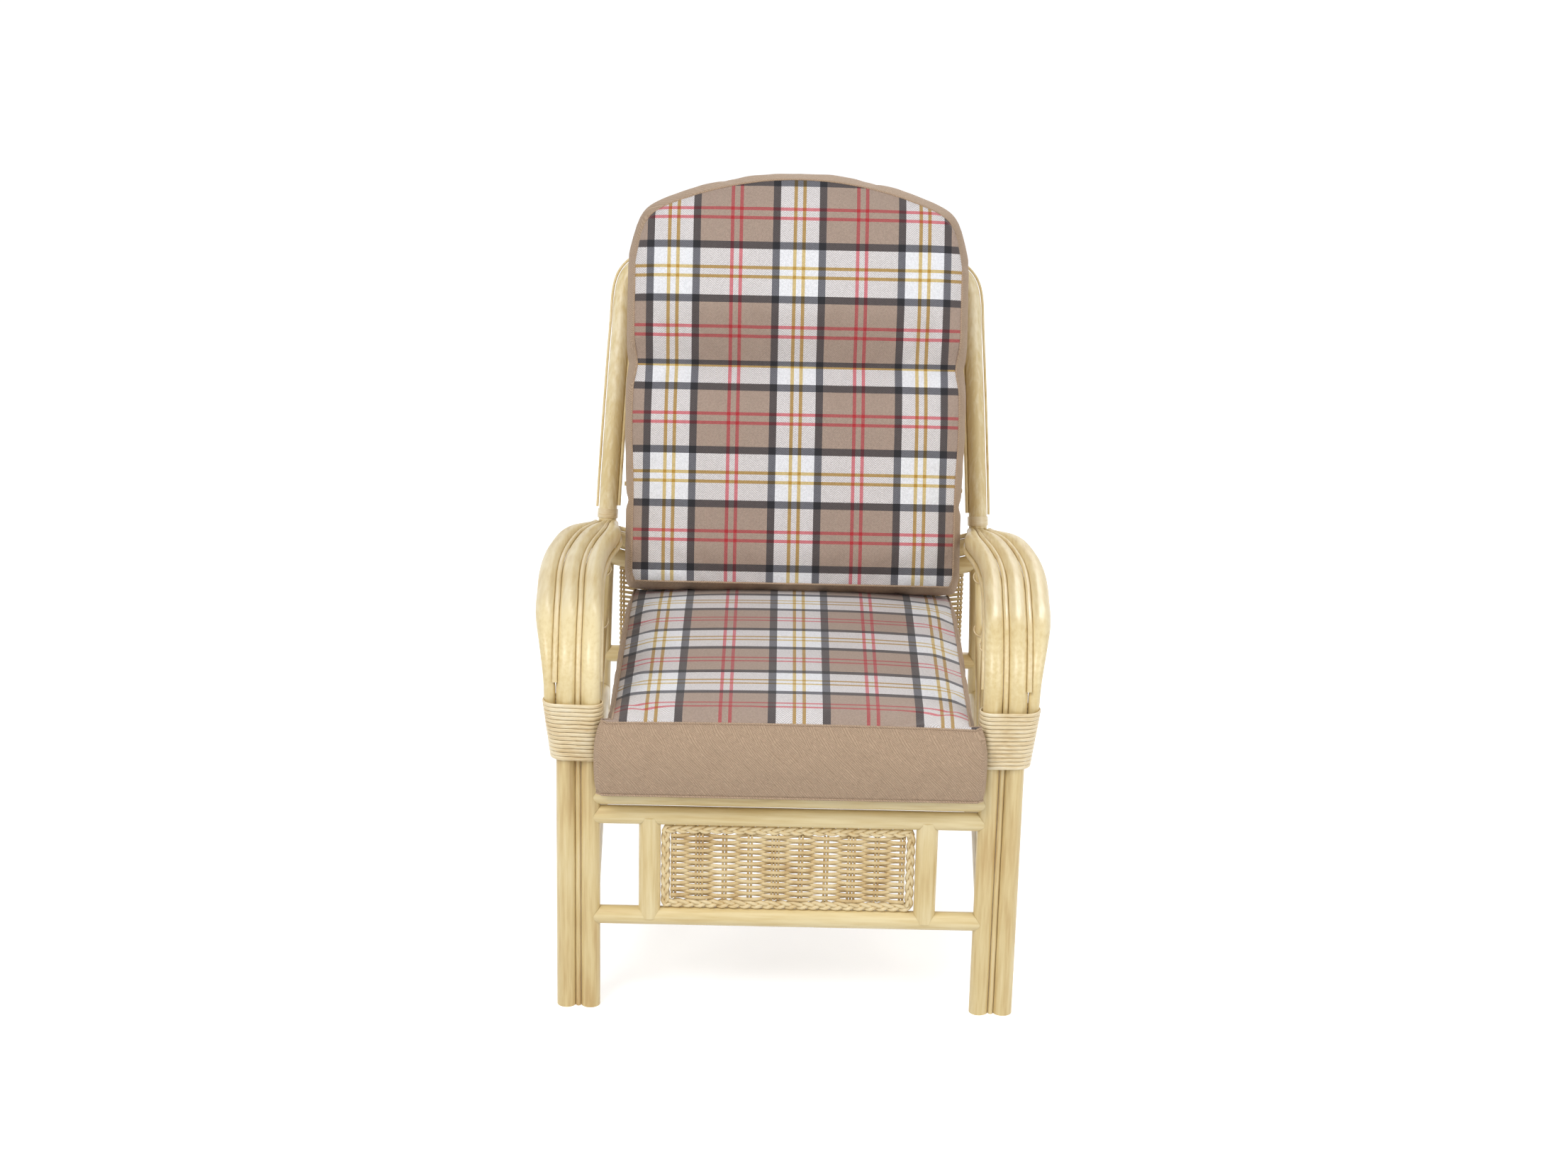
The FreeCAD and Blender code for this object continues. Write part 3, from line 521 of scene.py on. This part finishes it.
def make_border():
    low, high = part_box("apron_border")
    inset = 6.5 * MM
    strand = 7.0 * MM
    sway, depth = 3.7 * MM, 2.4 * MM
    plait_length, plait_steps = 46 * MM, 16
    middle_y = (low.y + high.y) / 2
    corners = [(low.x + inset, low.z + inset), (high.x - inset, low.z + inset),
               (high.x - inset, high.z - inset), (low.x + inset, high.z - inset)]
    lengths = [math.dist(corners[i], corners[(i + 1) % 4]) for i in range(4)]
    total = sum(lengths)
    plaits = round(total / plait_length)
    steps = plaits * plait_steps
    vertices, faces = [], []
    for strand_number in range(3):
        line = []
        for i in range(steps):
            run = total * i / steps
            side = 0
            while run > lengths[side]:
                run -= lengths[side]
                side += 1
            start, end = Vector(corners[side]), Vector(corners[(side + 1) % 4])
            along = (end - start).normalized()
            outward = Vector((along.y, -along.x))
            angle = 2 * math.pi * (plaits * i / steps + strand_number / 3)
            spot = start + along * run + outward * (sway * math.sin(angle))
            line.append(Vector((spot.x, middle_y + depth * math.sin(2 * angle), spot.y)))
        sweep(vertices, faces, line, oval(0.8 * strand, strand, 8), Vector((0, 1, 0)), closed=True)
    piece = new_piece("plaited_border", vertices, faces, [painted_light_wicker])
    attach(piece, "frame")
    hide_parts("apron_border")


make_border()


# Cushions: closed lattice boxes with pinned seams, blown up as cloth

SWELL_FRAMES = 20
SEAM_CREASE = 0.85


class Cushion:
    """A box lattice of cloth: panel faces at layer 0 and the last, boxing between."""

    def __init__(self, name, columns, rows, layers, place, materials):
        self.columns, self.rows, self.layers = columns, rows, layers
        self.index = {}
        vertices, faces, kinds = [], [], []

        def corner(i, j, k):
            key = (i, j, k)
            if key not in self.index:
                self.index[key] = len(vertices)
                vertices.append(place(2 * i / columns - 1, j / rows, k / layers))
            return self.index[key]

        for k in (0, layers):
            for i in range(columns):
                for j in range(rows):
                    near = [corner(i, j, k), corner(i + 1, j, k)]
                    quad = near + [corner(i + 1, j + 1, k), corner(i, j + 1, k)]
                    faces.append(quad if k else quad[::-1])
                    kinds.append(0)
        for k in range(layers):
            for j in range(rows):
                for i, flip in ((0, False), (columns, True)):
                    near = [corner(i, j, k), corner(i, j, k + 1)]
                    quad = near + [corner(i, j + 1, k + 1), corner(i, j + 1, k)]
                    faces.append(quad[::-1] if flip else quad)
                    kinds.append(1)
            for i in range(columns):
                for j, flip in ((0, False), (rows, True)):
                    near = [corner(i, j, k), corner(i + 1, j, k)]
                    quad = near + [corner(i + 1, j, k + 1), corner(i, j, k + 1)]
                    faces.append(quad[::-1] if flip else quad)
                    kinds.append(1)
        self.piece = new_piece(name, vertices, faces, materials)
        self.piece.data.polygons.foreach_set("material_index", kinds)
        self.rest = [v.co.copy() for v in self.piece.data.vertices]

    def loop(self, k):
        """Vertex numbers of a panel's seam, in order."""
        c, r = self.columns, self.rows
        keys = [(i, 0, k) for i in range(c)] + [(c, j, k) for j in range(r)]
        keys += [(i, r, k) for i in range(c, 0, -1)] + [(0, j, k) for j in range(r, 0, -1)]
        return [self.index[key] for key in keys]

    def panel(self, k):
        return [self.index[(i, j, k)] for i in range(self.columns + 1) for j in range(self.rows + 1)]

    def row(self, j, k):
        return [self.index[(i, j, k)] for i in range(self.columns + 1)]

    def crease(self, loops, closed):
        wanted = set()
        for numbers, ring in zip(loops, closed):
            pairs = list(zip(numbers, numbers[1:]))
            if ring:
                pairs.append((numbers[-1], numbers[0]))
            wanted |= {frozenset(pair) for pair in pairs}
        mesh = self.piece.data
        values = [SEAM_CREASE if frozenset(edge.vertices) in wanted else 0.0 for edge in mesh.edges]
        mesh.attributes.new("crease_edge", "FLOAT", "EDGE").data.foreach_set("value", values)

    def blow_up(self, pinned, cap, limit):
        """Inflates the cloth, then holds each point to its cap and to the space it has."""
        piece = self.piece
        group = piece.vertex_groups.new(name="pinned")
        group.add(sorted(pinned), 1.0, "REPLACE")
        cloth = piece.modifiers.new("cloth", "CLOTH")
        settings = cloth.settings
        settings.quality = 6
        settings.mass = 0.3
        settings.tension_stiffness = 12
        settings.compression_stiffness = 12
        settings.shear_stiffness = 6
        settings.bending_stiffness = 0.6
        settings.use_pressure = True
        settings.uniform_pressure_force = 4
        settings.shrink_min = -0.025
        settings.effector_weights.gravity = 0
        settings.vertex_group_mass = "pinned"
        cloth.collision_settings.use_collision = False
        for number in range(1, SWELL_FRAMES + 1):
            scene.frame_set(number)
        graph = bpy.context.evaluated_depsgraph_get()
        moved = [v.co.copy() for v in piece.evaluated_get(graph).data.vertices]
        piece.modifiers.remove(cloth)
        piece.vertex_groups.remove(group)
        scene.frame_set(1)
        for vertex, start, end in zip(piece.data.vertices, self.rest, moved):
            move = end - start
            reach = cap(start)
            if move.length > reach:
                move *= reach / move.length
            vertex.co = limit(start + move)

    def seam(self, name, numbers, closed, radius, material):
        """A sewn seam: a thin roll that lies along the joined edges."""
        points = [self.piece.data.vertices[n].co.copy() for n in numbers]
        vertices, faces = [], []
        up = Vector((0.31, 0.52, 0.79))
        sweep(vertices, faces, points, oval(2 * radius, 2 * radius, 8), up, closed)
        piece = new_piece(name, vertices, faces, [material])
        piece.matrix_world = self.piece.matrix_world
        return piece


SEAM_RADIUS = 1.5 * MM


def dress_cushion(cushion, body, replaced):
    piece = cushion.piece
    fine = piece.modifiers.new("fine", "SUBSURF")
    fine.levels = 1
    fine.render_levels = 1
    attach(piece, body)
    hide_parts(*replaced)


def add_seam(cushion, name, numbers, closed, material, body):
    piece = cushion.seam(name, numbers, closed, SEAM_RADIUS, material)
    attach(piece, body)


# Both cushions: cells of the lattice, how far the panels draw in, and how far the cloth may swell
COLUMNS = 52
LAYERS = 10
PANEL_INSET = 10 * MM
SIDE_SWELL = 22 * MM

# The seat cushion, and where its home stands; its front roll is wider than the rest
ROLL_HALF = 266 * MM
SEAT_HALF = 251 * MM
SEAT_FRONT = -42 * MM
ROLL_REAR = -26.5 * MM
ROLL_STEP = 1.5 * MM
SEAT_REAR = 598 * MM
SEAT_THICK = 104 * MM
SEAT_CROWN = 22 * MM
SEAT_DOME = 0.4
SEAT_LIFT = 13 * MM
SEAT_TILT = math.radians(3.8)
SEAT_HEIGHT = 333 * MM
FRONT_FOOT = 10 * MM
seat_low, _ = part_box("seat_cover")
leg_y = seat_low.y - SEAT_FRONT * math.cos(SEAT_TILT) - FRONT_FOOT * math.sin(SEAT_TILT)
seat_home = Matrix.Translation((0, leg_y, SEAT_HEIGHT)) @ Matrix.Rotation(-SEAT_TILT, 4, "X")

# Its rounded edges, and the room its cloth has beside the front legs and under the back cushion
UNDER_INSET = 4 * MM
UNDERSIDE = 0.5 * MM
FRONT_ROUND = 14 * MM
REAR_ROUND = 20 * MM
SEAT_EDGE = 3 * MM
CORNER_DRAW = 0.03
LIFT_END = 500 * MM
TOP_SWELL = 10 * MM
FRONT_SWELL = 9 * MM
REAR_SWELL = 3 * MM
FREE_RISE = 5 * MM
REST_FROM = 400 * MM
REST_OVER = 120 * MM
LEG_SWELL = 1 * MM
LEG_FRONT = SEAT_FRONT + 5 * MM
LEG_REAR = 20 * MM
LEG_INNER = 238 * MM
ROLL_ROWS = 4
SEAT_ROWS = 64


def seat_depth_at(v):
    """Rows lie close together in the front roll, and evenly behind it."""
    row = v * SEAT_ROWS
    if row <= ROLL_ROWS:
        return mix(SEAT_FRONT, ROLL_REAR, row / ROLL_ROWS)
    start = ROLL_REAR + ROLL_STEP
    return mix(start, SEAT_REAR, (row - ROLL_ROWS - 1) / (SEAT_ROWS - ROLL_ROWS - 1))


def seat_lift_at(depth):
    """The cushion is fuller towards the rear, and falls away under the back cushion."""
    fuller = smooth((depth - SEAT_FRONT) / LIFT_END)
    fall = smooth((depth - LIFT_END) / (SEAT_REAR - LIFT_END))
    fall_share = 0.75
    return SEAT_LIFT * fuller * (1 - fall_share * fall)


def seat_crown_at(depth):
    share = (depth - SEAT_FRONT) / (SEAT_REAR - SEAT_FRONT)
    ends, middle = 0.32, 0.68
    return SEAT_CROWN * (ends + middle * math.sin(math.pi * min(max(share, 0.0), 1.0)) ** 0.8)


def seat_place(u, v, w):
    depth = seat_depth_at(v)
    half = ROLL_HALF if depth <= ROLL_REAR + 0.1 * MM else SEAT_HALF
    front_round = 1 - smooth((depth - SEAT_FRONT) / FRONT_ROUND)
    corner = 1 - CORNER_DRAW * front_round * abs(u) ** 8
    rear_round = smooth((depth - SEAT_REAR + REAR_ROUND) / REAR_ROUND)
    corner *= 1 - CORNER_DRAW * rear_round * abs(u) ** 8
    draw = (PANEL_INSET if w > 0.5 else UNDER_INSET) * (1 - math.sin(math.pi * w) ** 0.6)
    x = u * (half - draw) * corner
    edge = SEAT_EDGE * max(front_round, rear_round)
    dome = SEAT_DOME * seat_crown_at(depth) * (1 - abs(u) ** 2.5)
    z = mix(UNDERSIDE, SEAT_THICK + seat_lift_at(depth) - edge, w) + (dome if w == 1 else 0)
    depth += draw * (front_round - rear_round)
    return Vector((x, depth, z))


def make_seat_cushion():
    check = check_material("check_seat", "y", warp=(200, 74, 10.2), weft=(174, 79, 93), sheen=0.15)
    plain = plain_material("boxing_seat", "y")
    cushion = Cushion("seat_cushion", COLUMNS, SEAT_ROWS, LAYERS, seat_place, [check, plain])
    cushion.piece.matrix_world = seat_home
    top, bottom = cushion.loop(LAYERS), cushion.loop(0)
    cushion.crease([top, bottom], [True, True])

    def cap(start):
        if LEG_FRONT < start.y < LEG_REAR and abs(start.x) > LEG_INNER:
            return LEG_SWELL
        return TOP_SWELL if start.z > SEAT_THICK - 4 * MM else SIDE_SWELL

    def limit(point):
        half = ROLL_HALF if point.y < ROLL_REAR + 0.5 * MM else SEAT_HALF + 1 * MM
        x = min(max(point.x, -half), half)
        y = min(max(point.y, SEAT_FRONT - FRONT_SWELL), SEAT_REAR + REAR_SWELL)
        rest_share = smooth((point.y - REST_FROM) / REST_OVER)
        bow = 1 - min(abs(point.x) / SEAT_HALF, 1.0) ** 2.5
        crown = seat_lift_at(point.y) + seat_crown_at(point.y) * bow
        high = SEAT_THICK + crown + mix(FREE_RISE, 0, rest_share)
        return Vector((x, y, min(max(point.z, UNDERSIDE), high)))

    cushion.blow_up(set(top) | set(cushion.panel(0)), cap, limit)
    dress_cushion(cushion, "seat_cushion", ["seat_cover", "seat_core"])
    for name, numbers in (("seat_top_seam", top), ("seat_bottom_seam", bottom)):
        add_seam(cushion, name, numbers, True, plain, "seat_cushion")


# The back cushion: it is sewn through at the channel, and its cloth takes a tuck there
BACK_HALF = 252 * MM
BACK_WIDE = 256 * MM
WIDEN_FROM = 120 * MM
WIDEN_OVER = 130 * MM
BACK_TOP = 624 * MM
ARCH_DROP = 62 * MM
CORNER_DROP = 57 * MM
BACK_THICK = 114 * MM
BACK_CROWN = 14 * MM
BACK_DOME = 0.65
BACK_SWELL = 6 * MM
LOW_BULGE = 6 * MM
UNDER_SLOPE = 0.12
CHANNEL_DRAW, LOW_DRAW, TOP_DRAW = 0.02, 0.02, 0.012
CHANNEL = 335 * MM
CHANNEL_DEEP = 24 * MM
CHANNEL_TUCK = 45 * MM
PINCH_REACH = 24 * MM
TOP_ROUND = 25 * MM
LOW_ROUND = 18 * MM
BACK_EDGE = 8 * MM
RECLINE = math.radians(19)
BACK_ROWS = 64
CHANNEL_ROW = 34
BACK_REST = (0, leg_y + 603.86 * MM, 405.14 * MM)
back_home = Matrix.Translation(BACK_REST) @ Matrix.Rotation(-RECLINE, 4, "X")


def back_half_at(z):
    """The cushion is wider above the arms."""
    return mix(BACK_HALF, BACK_WIDE, smooth((z - WIDEN_FROM) / WIDEN_OVER))


def back_place(u, v, w):
    row = v * BACK_ROWS
    top = BACK_TOP - ARCH_DROP * u * u - CORNER_DROP * abs(u) ** 30
    if row <= CHANNEL_ROW:
        z = CHANNEL * row / CHANNEL_ROW
    else:
        z = mix(CHANNEL, top, (row - CHANNEL_ROW) / (BACK_ROWS - CHANNEL_ROW))
    edge_top = smooth(1 - (top - z) / TOP_ROUND)
    edge_low = smooth(1 - z / LOW_ROUND)
    edge = BACK_EDGE * max(edge_top, edge_low)
    pinch = math.exp(-((z - CHANNEL) / PINCH_REACH) ** 2)
    dome = BACK_DOME * BACK_CROWN * (1 - abs(u) ** 3) * (1 - pinch)
    rear = edge * 0.6
    front = BACK_THICK - edge - CHANNEL_DEEP * pinch
    depth = mix(rear, front, w) + (dome if w == 1 else 0)
    corner = abs(u) ** 8
    narrow = 1 - CHANNEL_DRAW * pinch * w - LOW_DRAW * edge_low * corner - TOP_DRAW * edge_top * corner
    draw = PANEL_INSET * (1 - math.sin(math.pi * w) ** 0.6)
    x = u * (back_half_at(z) - draw) * narrow
    z += draw * (0.7 * edge_low - edge_top)
    z -= LOW_BULGE * math.sin(math.pi * w) * w * edge_low
    return Vector((x, -depth, z))


def make_back_cushion():
    tuck = (CHANNEL, CHANNEL_TUCK)
    check = check_material("check_back", "z", warp=(188, 69, 0), weft=(176, 80, 165), sheen=0.12, tuck=tuck)
    plain = plain_material("boxing_back", "z")
    cushion = Cushion("back_cushion", COLUMNS, BACK_ROWS, LAYERS, back_place, [check, plain])
    cushion.piece.matrix_world = back_home
    front, rear = cushion.loop(LAYERS), cushion.loop(0)
    channel = cushion.row(CHANNEL_ROW, LAYERS)
    cushion.crease([front, rear, channel], [True, True, False])

    def cap(start):
        return SIDE_SWELL

    def limit(point):
        half = back_half_at(point.z) + 2 * MM
        x = min(max(point.x, -half), half)
        deep = BACK_THICK + BACK_CROWN + BACK_SWELL
        low = UNDER_SLOPE * min(point.y, 0)
        z = min(max(point.z, low - 1 * MM), BACK_TOP + BACK_SWELL)
        return Vector((x, min(max(point.y, -deep), -0.2 * MM), z))

    cushion.blow_up(set(front) | set(channel) | set(cushion.panel(0)), cap, limit)
    dress_cushion(cushion, "back_cushion", ["back_cover", "back_core"])
    for name, numbers in (("back_front_seam", front), ("back_rear_seam", rear)):
        add_seam(cushion, name, numbers, True, plain, "back_cushion")


make_seat_cushion()
make_back_cushion()


# Floor, light and camera

# How bright the floor glows where it is seen, and the sky as light and as seen
FLOOR_GLOW = 0.56
SKY_LIGHT, SKY_SEEN = 0.55, 1.0


def make_floor():
    reach = 12.0
    corners = [(-reach, -reach, 0), (reach, -reach, 0), (reach, reach, 0), (-reach, reach, 0)]
    floor = new_piece("floor", corners, [(0, 1, 2, 3)], [])
    g = Graph("pale_floor", 0.9)
    g.shader.inputs["Base Color"].default_value = (0.82, 0.82, 0.82, 1)
    rays = g.node("ShaderNodeLightPath").outputs
    bounced = g.math("MAXIMUM", rays["Is Glossy Ray"], rays["Is Transmission Ray"])
    seen = g.math("MAXIMUM", rays["Is Camera Ray"], bounced)
    g.shader.inputs["Emission Color"].default_value = (1, 1, 1, 1)
    g.feed(g.shader.inputs["Emission Strength"], g.math("MULTIPLY", seen, FLOOR_GLOW))
    floor.data.materials.append(g.material)


def make_world():
    world = bpy.data.worlds.new("studio")
    scene.world = world
    world.use_nodes = True
    tree = world.node_tree
    back = tree.nodes["Background"]
    back.inputs["Color"].default_value = (1, 1, 1, 1)
    rays = tree.nodes.new("ShaderNodeLightPath").outputs
    seen = tree.nodes.new("ShaderNodeMath")
    seen.operation = "MAXIMUM"
    tree.links.new(rays["Is Camera Ray"], seen.inputs[0])
    glossy = tree.nodes.new("ShaderNodeMath")
    glossy.operation = "MAXIMUM"
    tree.links.new(rays["Is Glossy Ray"], glossy.inputs[0])
    tree.links.new(rays["Is Transmission Ray"], glossy.inputs[1])
    tree.links.new(glossy.outputs[0], seen.inputs[1])
    level = tree.nodes.new("ShaderNodeMapRange")
    tree.links.new(seen.outputs[0], level.inputs["Value"])
    level.inputs["To Min"].default_value = SKY_LIGHT
    level.inputs["To Max"].default_value = SKY_SEEN
    tree.links.new(level.outputs[0], back.inputs["Strength"])


def add_lamp(name, place, target, wide, power):
    lamp = bpy.data.lights.new(name, "AREA")
    lamp.shape = "RECTANGLE"
    lamp.size = wide
    lamp.size_y = wide
    lamp.energy = power
    thing = bpy.data.objects.new(name, lamp)
    scene.collection.objects.link(thing)
    thing.location = place
    thing.rotation_euler = (Vector(target) - Vector(place)).to_track_quat("-Z", "Y").to_euler()


# The photo's camera: its place, its turn in degrees, and its focal length in pixels of the photo
CAMERA_PLACE = (-0.0290, leg_y - 3.7602, 2.0067)
CAMERA_TURN = (0.2307, 20.1744, 1.2970)
FOCAL_PIXELS, PHOTO_PIXELS = 4250.7, 2212
SENSOR_WIDTH = 36


def make_camera():
    yaw, pitch, roll = (math.radians(angle) for angle in CAMERA_TURN)
    forward = Vector((math.sin(yaw) * math.cos(pitch), math.cos(yaw) * math.cos(pitch), -math.sin(pitch)))
    level_right = Vector((math.cos(yaw), -math.sin(yaw), 0))
    level_up = level_right.cross(forward)
    right = math.cos(roll) * level_right + math.sin(roll) * level_up
    up = math.cos(roll) * level_up - math.sin(roll) * level_right
    data = bpy.data.cameras.new("camera")
    data.sensor_width = SENSOR_WIDTH
    data.lens = SENSOR_WIDTH * FOCAL_PIXELS / PHOTO_PIXELS
    camera = bpy.data.objects.new("camera", data)
    scene.collection.objects.link(camera)
    turn = Matrix((right, up, -forward)).transposed().to_4x4()
    camera.matrix_world = Matrix.Translation(CAMERA_PLACE) @ turn
    scene.camera = camera


make_floor()
make_world()
add_lamp("key", (-1.6, -2.2, 2.9), (0, 0, 0.5), 1.6, 60)
add_lamp("fill", (2.4, -1.6, 1.9), (0, 0, 0.5), 1.8, 28)
add_lamp("rear", (0.6, 2.6, 2.4), (0, 0, 0.6), 1.6, 30)
make_camera()
scene.view_settings.view_transform = "Standard"
